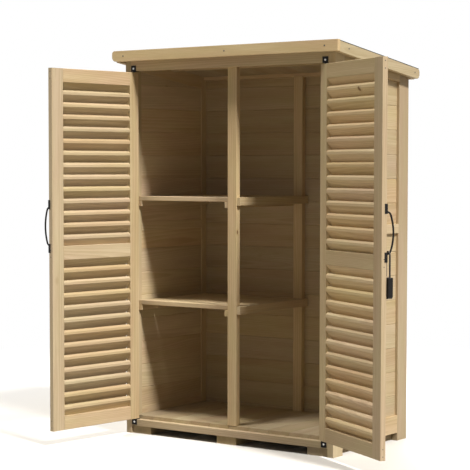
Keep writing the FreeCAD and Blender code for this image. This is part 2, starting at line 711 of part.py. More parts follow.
def door_frame():
    """Stiles and rails of one door, drilled for the pins and the handle screws."""
    inner = DOOR_WIDTH - LOCK_STILE_WIDTH
    hinge_stile = door_stick(0, HINGE_STILE_WIDTH, DOOR_BOTTOM, DOOR_TOP, True)
    for height, direction in ((DOOR_BOTTOM, Z_AXIS), (DOOR_TOP, Z_AXIS * -1)):
        start = door_point(PIVOT_INSET, PIVOT_SETBACK, height)
        hinge_stile = hinge_stile.cut(
            drill(start, direction, PIN_DEPTH + PIN_END_GAP, PIN_RADIUS + PIN_CLEARANCE)
        )
    lock_stile = door_stick(inner, DOOR_WIDTH, DOOR_BOTTOM, DOOR_TOP, True)
    for at in handle_screw_places():
        lock_stile = lock_stile.cut(drill(
            at, Y_AXIS, HANDLE_SCREW_LENGTH + PIN_END_GAP, HANDLE_SCREW_SHANK + SCREW_HOLE_CLEARANCE,
        ))
    rails = {
        "bottom_rail": (DOOR_BOTTOM, DOOR_BOTTOM + DOOR_RAIL_HEIGHT),
        "middle_rail": (DOOR_MIDDLE_RAIL_BOTTOM, DOOR_MIDDLE_RAIL_BOTTOM + DOOR_MIDDLE_RAIL_HEIGHT),
        "top_rail": (DOOR_TOP - DOOR_RAIL_HEIGHT, DOOR_TOP),
    }
    frame = {
        name: door_stick(HINGE_STILE_WIDTH, inner, z0, z1, False) for name, (z0, z1) in rails.items()
    }
    frame["hinge_stile"] = hinge_stile
    frame["lock_stile"] = lock_stile
    return frame


def slat_form(u0, u1):
    """One louvre slat: upright ends, a bevel on its inner nose, its inner lower corner at z = 0."""
    slope = math.tan(math.radians(SLAT_TILT))
    bevel = math.tan(math.radians(SLAT_BEVEL_SLOPE))
    end_height = SLAT_THICKNESS / math.cos(math.radians(SLAT_TILT))
    inner = DOOR_THICKNESS - SLAT_NOSE_INSET
    outer = -SLAT_PROUD
    rise = (inner - outer) * slope
    bevel_depth = (end_height - SLAT_NOSE_FACE) / (slope + bevel)
    outline = [
        door_point(u0, inner, 0),
        door_point(u0, inner, SLAT_NOSE_FACE),
        door_point(u0, inner - bevel_depth, SLAT_NOSE_FACE + bevel_depth * bevel),
        door_point(u0, outer, end_height - rise),
        door_point(u0, outer, -rise),
    ]
    slat = prism(outline, Vector(u1 - u0, 0, 0))
    return round_edges(slat, SLAT_DRIP_RADIUS, edge_at(0, DOOR_FACE + outer, -rise))


def slat_row(bottom, top, count):
    """Slats that fill one opening of a door, the last one sawn off under the rail."""
    u0 = HINGE_STILE_WIDTH
    u1 = DOOR_WIDTH - LOCK_STILE_WIDTH
    slope = math.tan(math.radians(SLAT_TILT))
    first = SLAT_RAIL_GAP + (DOOR_THICKNESS - SLAT_NOSE_INSET) * slope
    pitch = (top - bottom - first) / (count - 1)
    form = slat_form(u0, u1)
    above = box(
        -HINGE_EDGE, 0, DOOR_FACE - 2 * DOOR_THICKNESS, DOOR_FACE + 2 * DOOR_THICKNESS,
        top, top + 2 * pitch,
    )
    slats = []
    for place in range(count):
        slat = form.copy()
        slat.translate(Vector(0, 0, bottom + first + place * pitch))
        slats.append(slat.cut(above))
    return slats


def door_slats():
    """All slats of one door, in the opening above and the one below the middle rail."""
    middle_top = DOOR_MIDDLE_RAIL_BOTTOM + DOOR_MIDDLE_RAIL_HEIGHT
    upper = slat_row(middle_top, DOOR_TOP - DOOR_RAIL_HEIGHT, UPPER_SLATS)
    lower = slat_row(DOOR_BOTTOM + DOOR_RAIL_HEIGHT, DOOR_MIDDLE_RAIL_BOTTOM, LOWER_SLATS)
    return solids_of(upper + lower)


def handle_rod():
    """Bowed rod of a handle, from the face of its upper foot to that of its lower foot."""
    low = HANDLE_BOTTOM + FOOT_HEIGHT - ROD_END_INSET
    high = HANDLE_TOP - FOOT_HEIGHT + ROD_END_INSET
    middle = (low + high) / 2
    bow = math.radians(ROD_BOW_ANGLE)
    stub_end = FOOT_THICKNESS + ROD_STUB
    bend_out = stub_end + ROD_BEND_RADIUS * math.cos(bow)
    bend_up = ROD_BEND_RADIUS * (1 - math.sin(bow))
    half = math.pi / 4 - bow / 2
    bend_mid_out = stub_end + ROD_BEND_RADIUS * math.sin(half)
    bend_mid_up = ROD_BEND_RADIUS * (1 - math.cos(half))
    bow_radius = (middle - low - bend_up) / math.sin(bow)
    reach = bend_out + bow_radius * (1 - math.cos(bow))

    def at(outwards, height):
        return door_point(HANDLE_LINE, -outwards, height)

    edges = [
        Part.LineSegment(at(FOOT_THICKNESS / 2, low), at(stub_end, low)).toShape(),
        Part.Arc(
            at(stub_end, low), at(bend_mid_out, low + bend_mid_up), at(bend_out, low + bend_up),
        ).toShape(),
        Part.Arc(
            at(bend_out, low + bend_up), at(reach, middle), at(bend_out, high - bend_up),
        ).toShape(),
        Part.Arc(
            at(bend_out, high - bend_up), at(bend_mid_out, high - bend_mid_up), at(stub_end, high),
        ).toShape(),
        Part.LineSegment(at(stub_end, high), at(FOOT_THICKNESS / 2, high)).toShape(),
    ]
    path = Part.Wire(edges)
    ring = Part.Wire([Part.makeCircle(ROD_RADIUS, at(FOOT_THICKNESS / 2, low), Vector(0, -1, 0))])
    return path.makePipeShell([ring], True, False)


def handle_screw_places():
    """Points on the door's outer face where the handle screws go in."""
    heights = [HANDLE_TOP - offset for offset in HANDLE_SCREW_OFFSETS]
    heights += [HANDLE_BOTTOM + offset for offset in HANDLE_SCREW_OFFSETS]
    return [door_point(HANDLE_LINE, 0, height) for height in heights]


def handle():
    """Bow handle with two angle feet that lap round the free edge of the door."""
    shape = handle_rod()
    for z0 in (HANDLE_BOTTOM, HANDLE_TOP - FOOT_HEIGHT):
        low = door_point(HANDLE_LINE - FOOT_WIDTH / 2, -FOOT_THICKNESS, z0)
        face_end = DOOR_WIDTH + FOOT_EDGE_THICKNESS
        foot = Part.makeBox(
            face_end - HANDLE_LINE + FOOT_WIDTH / 2, FOOT_THICKNESS, FOOT_HEIGHT, low,
        )
        lap = Part.makeBox(
            FOOT_EDGE_THICKNESS, FOOT_THICKNESS + FOOT_EDGE_WRAP, FOOT_HEIGHT,
            door_point(DOOR_WIDTH, -FOOT_THICKNESS, z0),
        )
        shape = shape.fuse(foot).fuse(lap)
    for at in handle_screw_places():
        start = at - Vector(0, FOOT_THICKNESS, 0)
        shape = shape.cut(drill(
            start, Y_AXIS, FOOT_THICKNESS, HANDLE_SCREW_SHANK + SCREW_HOLE_CLEARANCE,
        ))
    return shape.removeSplitter()


def handle_screws():
    """Screws of one handle."""
    form = screw(HANDLE_SCREW_RADIUS, HANDLE_SCREW_HEIGHT, HANDLE_SCREW_SHANK, HANDLE_SCREW_LENGTH)
    return [
        aim(form, at - Vector(0, FOOT_THICKNESS, 0), Vector(0, -1, 0))
        for at in handle_screw_places()
    ]


def hang_door(shape, side):
    """Closed left door piece, mirrored for the right door, and swung open about its pins."""
    angle = -LEFT_DOOR_ANGLE if side < 0 else RIGHT_DOOR_ANGLE
    pieces = [mirrored(piece) if side > 0 else piece.copy() for piece in solids_of(shape)]
    for piece in pieces:
        piece.rotate(Vector(side * PIVOT_X, PIVOT_Y, 0), Z_AXIS, angle)
    return pieces


def lock_levels():
    """Heights that fix the padlock: centre of the shackle's crown and top of the body."""
    rod = HANDLE_BOTTOM + FOOT_HEIGHT - ROD_END_INSET
    into_bend = max(0.0, LOCK_DOOR_GAP + LOCK_THICKNESS / 2 - FOOT_THICKNESS - ROD_STUB)
    apart = ROD_RADIUS + SHACKLE_ROD_RADIUS + SHACKLE_HANG_GAP
    rise = ROD_BEND_RADIUS - math.sqrt((ROD_BEND_RADIUS - apart) ** 2 - into_bend ** 2)
    crown_centre = rod + rise - SHACKLE_CLEAR_WIDTH / 2 - SHACKLE_ROD_RADIUS
    return crown_centre, crown_centre - SHACKLE_LEG_LENGTH


def padlock_shackle():
    """Round bar bent into a long leg, a crown and a short leg that is out of the body."""
    crown_centre, body_top = lock_levels()
    reach = SHACKLE_CLEAR_WIDTH / 2 + SHACKLE_ROD_RADIUS
    out = LOCK_DOOR_GAP + LOCK_THICKNESS / 2

    def at(across, height):
        return door_point(HANDLE_LINE + across, -out, height)

    long_end = at(reach, body_top - SHACKLE_BITE)
    short_end = at(-reach, body_top + SHORT_LEG_GAP)
    edges = [
        Part.LineSegment(long_end, at(reach, crown_centre)).toShape(),
        Part.Arc(
            at(reach, crown_centre), at(0, crown_centre + reach), at(-reach, crown_centre),
        ).toShape(),
        Part.LineSegment(at(-reach, crown_centre), short_end).toShape(),
    ]
    ring = Part.Wire([Part.makeCircle(SHACKLE_ROD_RADIUS, long_end, Z_AXIS)])
    return Part.Wire(edges).makePipeShell([ring], True, False)


def padlock_body():
    """Padlock body with both shackle holes and the recess for its key plug."""
    top = lock_levels()[1]
    bottom = top - LOCK_HEIGHT
    half = LOCK_WIDTH / 2
    outer = door_point(HANDLE_LINE - half, -LOCK_DOOR_GAP - LOCK_THICKNESS, bottom)
    body = Part.makeBox(LOCK_WIDTH, LOCK_THICKNESS, LOCK_HEIGHT, outer)
    for x in (outer.x, outer.x + LOCK_WIDTH):
        body = round_edges(body, LOCK_BOTTOM_RADIUS, edge_at(1, x, bottom))
    for x in (outer.x, outer.x + LOCK_WIDTH):
        body = round_edges(body, LOCK_EDGE_RADIUS, edge_at(1, x, top))
    reach = SHACKLE_CLEAR_WIDTH / 2 + SHACKLE_ROD_RADIUS
    middle = LOCK_DOOR_GAP + LOCK_THICKNESS / 2
    depths = {
        reach: SHACKLE_BITE + SHACKLE_TRAVEL + PIN_END_GAP,
        -reach: SHACKLE_TRAVEL - SHORT_LEG_GAP + PIN_END_GAP,
    }
    for across, depth in depths.items():
        start = door_point(HANDLE_LINE + across, -middle, top)
        body = body.cut(drill(start, Z_AXIS * -1, depth, SHACKLE_ROD_RADIUS + SHACKLE_CLEARANCE))
    seat = drill(
        door_point(HANDLE_LINE, -LOCK_DOOR_GAP - LOCK_THICKNESS, bottom + PLUG_HEIGHT),
        Y_AXIS, KEYWAY_DEPTH, PLUG_RADIUS,
    )
    return body.cut(seat)


def padlock_key_plug():
    """Round key plug in the face of the padlock, with its keyway."""
    top = lock_levels()[1]
    bottom = top - LOCK_HEIGHT
    centre = door_point(
        HANDLE_LINE, -LOCK_DOOR_GAP - LOCK_THICKNESS - PLUG_PROUD, bottom + PLUG_HEIGHT,
    )
    plug = drill(centre, Y_AXIS, KEYWAY_DEPTH + PLUG_PROUD, PLUG_RADIUS)
    keyway = Part.makeBox(
        KEYWAY_WIDTH, KEYWAY_DEPTH, KEYWAY_HEIGHT,
        centre - Vector(KEYWAY_WIDTH / 2, 0, KEYWAY_HEIGHT / 2),
    )
    return plug.cut(keyway)


def build():
    """All nodes of the cabinet by name."""
    nodes = {}
    front_post, rear_post = side_posts()
    bottom_top = SIDE_RAIL_BOTTOM + BOTTOM_RAIL_HEIGHT
    right_side = {
        "front_post": front_post,
        "rear_post": rear_post,
        "top_rail": side_top_rail(),
        "middle_rail": side_rail(
            MIDDLE_RAIL_BOTTOM, MIDDLE_RAIL_BOTTOM + MIDDLE_RAIL_HEIGHT, True, True,
        ),
        "bottom_rail": side_rail(SIDE_RAIL_BOTTOM, bottom_top, False, True),
        "wall_boards": side_boards(),
    }
    for name, shape in right_side.items():
        nodes["right_" + name] = shape
        nodes["left_" + name] = [mirrored(solid) for solid in solids_of(shape)]
    nodes.update(base_and_floor())
    nodes.update(back_frame())
    nodes["back_boards"] = back_boards()
    nodes["lintel"] = lintel()
    nodes.update(divider())
    for name, top in SHELF_TOPS.items():
        nodes.update(shelf(name, top))
    nodes.update(roof_deck())
    nodes.update(fascias())
    nodes["fascia_nails"] = fascia_nails()
    nodes["hinge_brackets"] = hinge_brackets()
    nodes["hinge_screws"] = hinge_screws()
    door = door_frame()
    door["slats"] = door_slats()
    door["handle"] = handle()
    door["handle_screws"] = handle_screws()
    for name, shape in door.items():
        nodes["left_door_" + name] = hang_door(shape, -1)
        nodes["right_door_" + name] = hang_door(shape, 1)
    nodes["padlock_shackle"] = hang_door(padlock_shackle(), 1)
    nodes["padlock_body"] = hang_door(padlock_body(), 1)
    nodes["padlock_key_plug"] = hang_door(padlock_key_plug(), 1)
    return nodes


os.makedirs("parts", exist_ok=True)
for node_name, node_shape in build().items():
    save(node_name, node_shape)
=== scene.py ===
import json
import math

import bmesh
import bpy
from mathutils import Matrix, Vector


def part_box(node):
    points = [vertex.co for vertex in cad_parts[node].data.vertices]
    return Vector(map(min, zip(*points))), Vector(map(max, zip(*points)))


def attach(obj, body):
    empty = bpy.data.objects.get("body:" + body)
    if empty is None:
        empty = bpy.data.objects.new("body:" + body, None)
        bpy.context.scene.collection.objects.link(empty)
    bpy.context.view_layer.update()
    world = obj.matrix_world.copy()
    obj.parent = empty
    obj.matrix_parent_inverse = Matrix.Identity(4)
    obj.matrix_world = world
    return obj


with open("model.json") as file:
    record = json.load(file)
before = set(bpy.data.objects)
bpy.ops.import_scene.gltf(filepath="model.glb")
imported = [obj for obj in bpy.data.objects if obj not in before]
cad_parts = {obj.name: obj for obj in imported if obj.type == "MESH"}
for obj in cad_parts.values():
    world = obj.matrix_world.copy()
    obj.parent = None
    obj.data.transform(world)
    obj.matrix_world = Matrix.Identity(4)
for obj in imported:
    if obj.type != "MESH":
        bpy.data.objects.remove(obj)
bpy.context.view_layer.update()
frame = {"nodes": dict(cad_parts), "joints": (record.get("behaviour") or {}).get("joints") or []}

# Garden storage cabinet in planed softwood. Metres, in the CAD frame: X to the right seen from
# the front, Y to the back, Z up, origin on the ground in the middle of the body.

# Camera, as a pinhole fitted to the photograph: pixels, then metres, degrees and millimetres
PICTURE_SIDE = 470
FOCAL_PIXELS = 1598.8
VIEW_AXIS_X = 203.2
VIEW_AXIS_Y = 261.1
CAMERA_PLACE = Vector((3.7323, -5.4871, 1.1177))
CAMERA_TURN = 36.449
CAMERA_DIP = 3.357
SENSOR_WIDTH = 36.0

# Lamps: turn towards +X off the front, height above the horizon and spread in degrees
LAMPS = {
    "key": {"turn": 75.0, "height": 48.0, "power": 4.3, "spread": 9.0},
    "top": {"turn": -18.0, "height": 73.0, "power": 2.1, "spread": 12.0},
    "back": {"turn": -150.0, "height": 38.0, "power": 1.9, "spread": 20.0},
}
LAMP_COLOUR = (1.0, 0.97, 0.92)
SKY_COLOUR = (1.0, 0.96, 0.90)
SKY_STRENGTH = 0.12

# Floor: its colour as seen, its colour for the light it throws back, and where it fades out
FLOOR_SEEN = (0.80, 0.79, 0.77)
FLOOR_BOUNCE = (0.2, 0.18, 0.145)
FLOOR_RADIUS = 30.0
FLOOR_SIDES = 96
FLOOR_FADE = (1.2, 3.5)
WHITE = (1.0, 1.0, 1.0)

# Wood colours, linear
WOOD_PALE = (0.67, 0.53, 0.325)
WOOD_MID = (0.585, 0.445, 0.25)
WOOD_LATE = (0.42, 0.285, 0.130)
WOOD_KNOT = (0.2, 0.105, 0.045)

# How pale or dark a node's wood is against the rest. This is partly painted light and shade: the boards
# inside the cabinet (back, floor, roof, lower shelf) are darkened as painted shade of the interior. The
# lintel, the front, rear and left fascias and the door slats are made paler, and the right side's rear
# post, wall boards and fascia darker, to stand in for how the light falls on them.
TONES_AND_PAINTED_LIGHT = {
    "back_boards": 0.80, "floor_boards": 0.72, "roof_boards": 0.80, "lower_shelf_slats": 0.90,
    "left_front_post": 0.95, "right_rear_post": 0.79, "right_wall_boards": 0.92, "lintel": 1.16,
    "front_fascia": 1.15, "rear_fascia": 1.15, "left_fascia": 1.15, "right_fascia": 0.90,
    "left_door_slats": 1.03, "right_door_slats": 1.22,
}

# Spread of value, hue and saturation from board to board, and of hue within a board
BOARD_VALUE = (0.92, 1.06)
BOARD_HUE = (0.494, 0.506)
BOARD_SATURATION = (0.84, 1.00)
TINT_HUE = (-0.007, 0.007)
TINT_RANGE = (0.35, 0.65)

# Growth rings, in metres: the pith lies outside the board, and its place differs from board to board
RING_SPACING = 0.0052
PITH_DEPTH = 0.025
PITH_SPREAD = 0.07
PITH_LEAN = 0.06
RING_SWAY = 0.016
YEARS_PER_METRE = 45.0
YEAR_SWING = 3.0
LATE_RISE = (0.15, 0.82)
LATE_END = (1.0, 0.93)
LATE_CLOUD = (0.25, 0.8)
LATE_STRENGTH = (0.50, 0.20)

# Knots: the share of cells that have one, and ranges in shares of a cell or in knot radii
KNOT_CELL = 0.16
KNOT_SHARE = 0.10
KNOT_RADII = (0.02, 0.062)
NO_KNOT_RADIUS = 0.0001
KNOT_PULL = 0.010
KNOT_PULL_REACH = (0.6, 3.2)
KNOT_RIM = (1.15, 0.75)
KNOT_HALO = (2.2, 1.0)
KNOT_HALO_STRENGTH = 0.45

# Stretch of the wood's noises along and across the grain, per metre
BOARD_SHIFT = (9.0, 5.0, 5.0)
SWAY_STRETCH = (1.3, 9.0, 9.0)
KNOT_STRETCH = (1 / KNOT_CELL, 11.0, 11.0)
FIBRE_STRETCH = (14.0, 620.0, 620.0)
CLOUD_STRETCH = (2.2, 22.0, 22.0)
TINT_STRETCH = (3.0, 17.0, 17.0)

# Wood surface
DARK_FIBRES = (0.62, 0.30)
FIBRE_STRENGTH = 0.30
FIBRE_ROUGHNESS = (0.60, 0.74)
LATE_SMOOTHING = -0.08
FIBRE_RELIEF = 0.6
LATE_RELIEF = 0.5
KNOT_RELIEF = 0.7
WOOD_SHINE = 0.35
WOOD_EDGE = 0.0012
WOOD_BUMP = 0.0006
WOOD_BUMP_STRENGTH = 0.35

# Boards of the walls and the back, which repeat up the cabinet, and rows of other boards
BOARD_PITCH = 0.0985
BOARD_DATUM = 0.0855
FLOOR_BOARDS = 10
ROOF_BOARDS = 11
SHELF_SLATS = 5
BEARER_STEP = 0.02
BATTEN_STEP = 0.1

# Numbers that keep every piece's figure its own
FRAME_SEED_STEP = 40
BACK_SEED = 200
LEFT_SEED = 300
RIGHT_SEED = 400
LAYER_SEED = 500
LAYER_SEED_STEP = 30
FASCIA_SEED = 820
DOOR_SEED = 1000
DOOR_SEED_STEP = 200
SLAT_SEED = 30
UPPER_SLAT_SEED = 50.0

# Louvres and doors, repeated from the model's sizes
SLAT_TILT = 52.0
SLAT_NOSE_INSET = 0.0007
SLAT_RAIL_GAP = 0.001
SLAT_MARGIN = 0.004
DOOR_THICKNESS = 0.021
DOOR_WIDTH = 0.478
PIN_SETBACK = 0.005
PIN_INSET = 0.011
UPPER_SLATS = 14
LOWER_SLATS = 13

# Roofing felt
FELT_THICKNESS = 0.003
FELT_GRAINS = 620.0
FELT_STOPS = (
    (0.0, (0.012, 0.012, 0.013)),
    (0.7, (0.030, 0.030, 0.032)),
    (1.0, (0.11, 0.11, 0.115)),
)
FELT_DUST = (0.055, 0.053, 0.048)
FELT_DUST_RANGE = (0.4, 0.7)
FELT_DUST_STRENGTH = 0.35
FELT_PATCHES = 9.0
FELT_ROUGHNESS = (0.82, 0.95)
FELT_SHINE = 0.2
FELT_BUMP = 0.0008
FELT_BUMP_STRENGTH = 0.8

# Metals: colour, roughness, share of metal, colour of worn edges and shine
METALS = {
    "black_steel": {"colour": (0.010, 0.009, 0.009), "roughness": 0.45, "shine": 0.16},
    "shackle_steel": {"colour": (0.035, 0.033, 0.032), "roughness": 0.35, "metallic": 1.0},
    "zinc": {
        "colour": (0.62, 0.62, 0.60), "roughness": 0.33, "metallic": 1.0, "worn": (0.75, 0.75, 0.73),
    },
    "dull_steel": {
        "colour": (0.10, 0.095, 0.088), "roughness": 0.55, "metallic": 0.6, "worn": (0.22, 0.21, 0.20),
    },
    "nickel": {
        "colour": (0.46, 0.44, 0.40), "roughness": 0.35, "metallic": 1.0, "worn": (0.6, 0.6, 0.56),
    },
}
METAL_GRAIN = 900.0
METAL_PATCHES = 60.0
METAL_PATCH_GAIN = 1.35
METAL_EDGE = 0.0008
METAL_BUMP = 0.0003
METAL_BUMP_STRENGTH = 0.25
METAL_SMOOTHER = 0.06
METAL_ROUGHER = 0.08
WEAR_BEND = (0.03, 0.20)
WEAR_PATCHES = (0.48, 0.66)
WEAR_STRENGTH = 0.6

# Small nails, and their heads' outline as shares of radius and height
TACK_SPACING = 0.11
TACK_INSET = 0.012
TACK_RADIUS = 0.005
TACK_HEIGHT = 0.0009
BRAD_RADIUS = 0.0021
BRAD_HEIGHT = 0.0004
BRAD_INSET = 0.014
HEAD_SIDES = 20
HEAD_OUTLINE = ((1.0, 0.0), (1.0, 0.35), (0.86, 0.75), (0.45, 1.0))

# Ranges of a share and of a noise's values, and samples of a rounded edge
WHOLE = (0.0, 1.0)
MIDDLE = (0.3, 0.7)
MOST = (0.2, 0.8)
EDGE_SAMPLES = 4

joints = {joint["name"]: joint for joint in frame["joints"]}


def closing(side):
    """Pin place and the turn about it, in radians, that would close a door from rest."""
    joint = joints[side + "_door_hinge"]
    pin = Vector((*joint["pos_m"][:2], 0.0))
    open_angle = -joint["range_deg"][0]
    return pin, -joint["axis"][2] * math.radians(open_angle)


def opaque(colour):
    """Colour with full alpha."""
    return (*colour, 1.0)


class Nodes:
    """Short helpers for one shader node tree."""

    def __init__(self, tree):
        self.tree = tree
        tree.nodes.clear()

    def add(self, kind, inputs=None, **settings):
        """New node with settings and with inputs given as values or as sockets."""
        node = self.tree.nodes.new(kind)
        for key, value in settings.items():
            setattr(node, key, value)
        self.feed(node, inputs or {})
        return node

    def feed(self, node, inputs):
        """Set a node's inputs to values, or link them to sockets."""
        for key, value in inputs.items():
            if isinstance(value, bpy.types.NodeSocket):
                self.tree.links.new(value, node.inputs[key])
            else:
                node.inputs[key].default_value = value

    def maths(self, operation, first, second=0.0):
        """Result of one math operation."""
        return self.add("ShaderNodeMath", {0: first, 1: second}, operation=operation).outputs[0]

    def vector(self, operation, first, second=(0.0, 0.0, 0.0)):
        """Result of one vector operation."""
        node = self.add("ShaderNodeVectorMath", {0: first, 1: second}, operation=operation)
        return node.outputs["Value" if operation in ("LENGTH", "DOT_PRODUCT") else "Vector"]

    def parts(self, vector):
        """The three parts of a vector or a colour."""
        return list(self.add("ShaderNodeSeparateXYZ", {0: vector}).outputs)

    def ramp(self, factor, stops):
        """Colour ramp between (place, colour) stops."""
        node = self.add("ShaderNodeValToRGB", {"Fac": factor})
        elements = node.color_ramp.elements
        while len(elements) < len(stops):
            elements.new(0.5)
        for element, (place, colour) in zip(elements, stops):
            element.position = place
            element.color = opaque(colour)
        return node.outputs["Color"]

    def mix(self, factor, first, second):
        """Mix of two colours."""
        inputs = {0: factor, 6: first, 7: second}
        return self.add("ShaderNodeMix", inputs, data_type="RGBA").outputs[2]

    def noise(self, coordinates, scale, detail=2.0, roughness=0.5):
        """Noise value."""
        inputs = {"Vector": coordinates, "Scale": scale, "Detail": detail, "Roughness": roughness}
        return self.add("ShaderNodeTexNoise", inputs).outputs["Fac"]

    def spread(self, value, source, target=WHOLE):
        """Value mapped from one range to another and clamped."""
        inputs = {0: value, 1: source[0], 2: source[1], 3: target[0], 4: target[1]}
        return self.add("ShaderNodeMapRange", inputs).outputs[0]

    def place(self):
        """Place on the object, in metres."""
        return self.add("ShaderNodeTexCoord").outputs["Object"]

    def rounded(self, radius):
        """Normal with edges rounded off."""
        return self.add("ShaderNodeBevel", {"Radius": radius}, samples=EDGE_SAMPLES).outputs["Normal"]

    def bump(self, strength, distance, height, normal=None):
        """Normal with a fine relief."""
        inputs = {"Strength": strength, "Distance": distance, "Height": height}
        if normal:
            inputs["Normal"] = normal
        return self.add("ShaderNodeBump", inputs).outputs["Normal"]

    def surface(self, inputs):
        """Principled surface as the material's output."""
        shader = self.add("ShaderNodeBsdfPrincipled", inputs)
        self.add("ShaderNodeOutputMaterial", {"Surface": shader.outputs["BSDF"]})


def new_material(name):
    """Empty node material and its helpers."""
    material = bpy.data.materials.new(name)
    material.use_nodes = True
    return material, Nodes(material.node_tree)


def knot_cells(n, moved):
    """Whether a cell has a knot, and the distance from it in knot radii."""
    stretched = n.vector("MULTIPLY", moved, KNOT_STRETCH)
    cells = n.add("ShaderNodeTexVoronoi", {"Vector": stretched, "Scale": 1.0})
    chance = n.parts(cells.outputs["Color"])[0]
    has_knot = n.maths("GREATER_THAN", chance, 1.0 - KNOT_SHARE)
    radius = n.maths("MULTIPLY", has_knot, n.spread(chance, (1.0 - KNOT_SHARE, 1.0), KNOT_RADII))
    return has_knot, n.maths("DIVIDE", cells.outputs["Distance"], n.maths("ADD", radius, NO_KNOT_RADIUS))


def ring_radius(n, place, moved, chance):
    """Distance from a board's pith, with a slow sway along the grain."""
    slow = n.add("ShaderNodeTexNoise", {
        "Vector": n.vector("MULTIPLY", moved, SWAY_STRETCH), "Scale": 1.0, "Detail": 2.0,
    })
    centred = n.vector("SUBTRACT", slow.outputs["Color"], (0.5, 0.5, 0.5))
    sway = n.vector("MULTIPLY", centred, (0.0, RING_SWAY, RING_SWAY))
    along = n.parts(place)[0]
    lean = n.maths("MULTIPLY", along, n.spread(chance[1], WHOLE, (-PITH_LEAN, PITH_LEAN)))
    pith = n.add("ShaderNodeCombineXYZ", {
        1: n.maths("ADD", n.spread(chance[0], WHOLE, (-PITH_SPREAD, PITH_SPREAD)), lean),
        2: n.spread(chance[2], WHOLE, (PITH_DEPTH, PITH_DEPTH + PITH_SPREAD)),
    }).outputs[0]
    from_pith = n.vector("ADD", n.vector("ADD", place, sway), pith)
    return n.vector("LENGTH", n.vector("MULTIPLY", from_pith, (0.0, 1.0, 1.0)))


def late_wood(n, radius):
    """Share of dark late wood, which rises slowly and ends sharply in rings of uneven width."""
    years = n.add("ShaderNodeTexNoise", {
        "W": n.maths("MULTIPLY", radius, YEARS_PER_METRE), "Scale": 1.0, "Detail": 1.0,
    }, noise_dimensions="1D").outputs["Fac"]
    even = n.maths("DIVIDE", radius, RING_SPACING)
    turn = n.maths("FRACT", n.maths("ADD", even, n.maths("MULTIPLY", years, YEAR_SWING)))
    return n.maths("MULTIPLY", n.spread(turn, LATE_RISE), n.spread(turn, LATE_END))


def softwood_group():
    """Planed softwood: growth rings, fibres, knots and a tint for each board."""
    tree = bpy.data.node_groups.new("softwood", "ShaderNodeTree")
    for name, in_out, kind in (
        ("Place", "INPUT", "Vector"), ("Board", "INPUT", "Float"), ("Tone_with_painted_light", "INPUT", "Float"),
        ("Colour", "OUTPUT", "Color"), ("Roughness", "OUTPUT", "Float"), ("Relief", "OUTPUT", "Float"),
    ):
        tree.interface.new_socket(name, in_out=in_out, socket_type="NodeSocket" + kind)
    n = Nodes(tree)
    entry = n.add("NodeGroupInput").outputs
    place = entry["Place"]
    board = n.add("ShaderNodeTexWhiteNoise", {"W": entry["Board"]}, noise_dimensions="1D").outputs["Color"]
    chance = n.parts(board)
    moved = n.vector("ADD", place, n.vector("MULTIPLY", board, BOARD_SHIFT))

    has_knot, knot_near = knot_cells(n, moved)
    pull = n.maths("MULTIPLY", n.spread(knot_near, KNOT_PULL_REACH, (KNOT_PULL, 0.0)), has_knot)
    late = late_wood(n, n.maths("ADD", ring_radius(n, place, moved, chance), pull))
    fibre = n.noise(n.vector("MULTIPLY", moved, FIBRE_STRETCH), 1.0, detail=3.0, roughness=0.6)
    cloud = n.noise(n.vector("MULTIPLY", moved, CLOUD_STRETCH), 1.0, detail=3.0, roughness=0.55)
    tint = n.noise(n.vector("MULTIPLY", moved, TINT_STRETCH), 1.0)
    knot_face = n.maths("MULTIPLY", n.spread(knot_near, KNOT_RIM), has_knot)
    halo = n.maths("MULTIPLY", n.spread(knot_near, KNOT_HALO, (0.0, KNOT_HALO_STRENGTH)), has_knot)

    colour = n.mix(n.spread(cloud, MIDDLE), opaque(WOOD_MID), opaque(WOOD_PALE))
    ringed = n.maths("MULTIPLY", late, n.spread(cloud, LATE_CLOUD, LATE_STRENGTH))
    colour = n.mix(ringed, colour, opaque(WOOD_LATE))
    colour = n.mix(n.spread(fibre, DARK_FIBRES, (0.0, FIBRE_STRENGTH)), colour, opaque(WOOD_LATE))
    colour = n.mix(halo, colour, opaque(WOOD_LATE))
    colour = n.mix(knot_face, colour, opaque(WOOD_KNOT))
    board_hue = n.spread(chance[1], WHOLE, BOARD_HUE)
    # The value carries the node's tone, which is partly painted light and shade, on top of each board's
    # random value.
    shaded = n.add("ShaderNodeHueSaturation", {
        "Hue": n.maths("ADD", board_hue, n.spread(tint, TINT_RANGE, TINT_HUE)),
        "Saturation": n.spread(chance[2], WHOLE, BOARD_SATURATION),
        "Value": n.maths("MULTIPLY", n.spread(chance[0], WHOLE, BOARD_VALUE), entry["Tone_with_painted_light"]),
        "Color": colour,
    }).outputs["Color"]

    dry = n.spread(fibre, MOST, FIBRE_ROUGHNESS)
    rough = n.maths("ADD", dry, n.maths("MULTIPLY", late, LATE_SMOOTHING))
    grain = n.maths("ADD", n.maths("MULTIPLY", fibre, FIBRE_RELIEF), n.maths("MULTIPLY", late, LATE_RELIEF))
    relief = n.maths("ADD", grain, n.maths("MULTIPLY", knot_face, KNOT_RELIEF))
    n.add("NodeGroupOutput", {"Colour": shaded, "Roughness": rough, "Relief": relief})
    return tree


SOFTWOOD = softwood_group()


def stepped(axis, datum, pitch):
    """Maker of a board's number and its middle, for boards that repeat at a pitch along one axis."""
    def number(n, axes):
        board = n.maths("FLOOR", n.maths("DIVIDE", n.maths("SUBTRACT", axes[axis], datum), pitch))
        middle = n.maths("ADD", n.maths("MULTIPLY", n.maths("ADD", board, 0.5), pitch), datum)
        return board, axis, n.maths("SUBTRACT", axes[axis], middle)
    return number


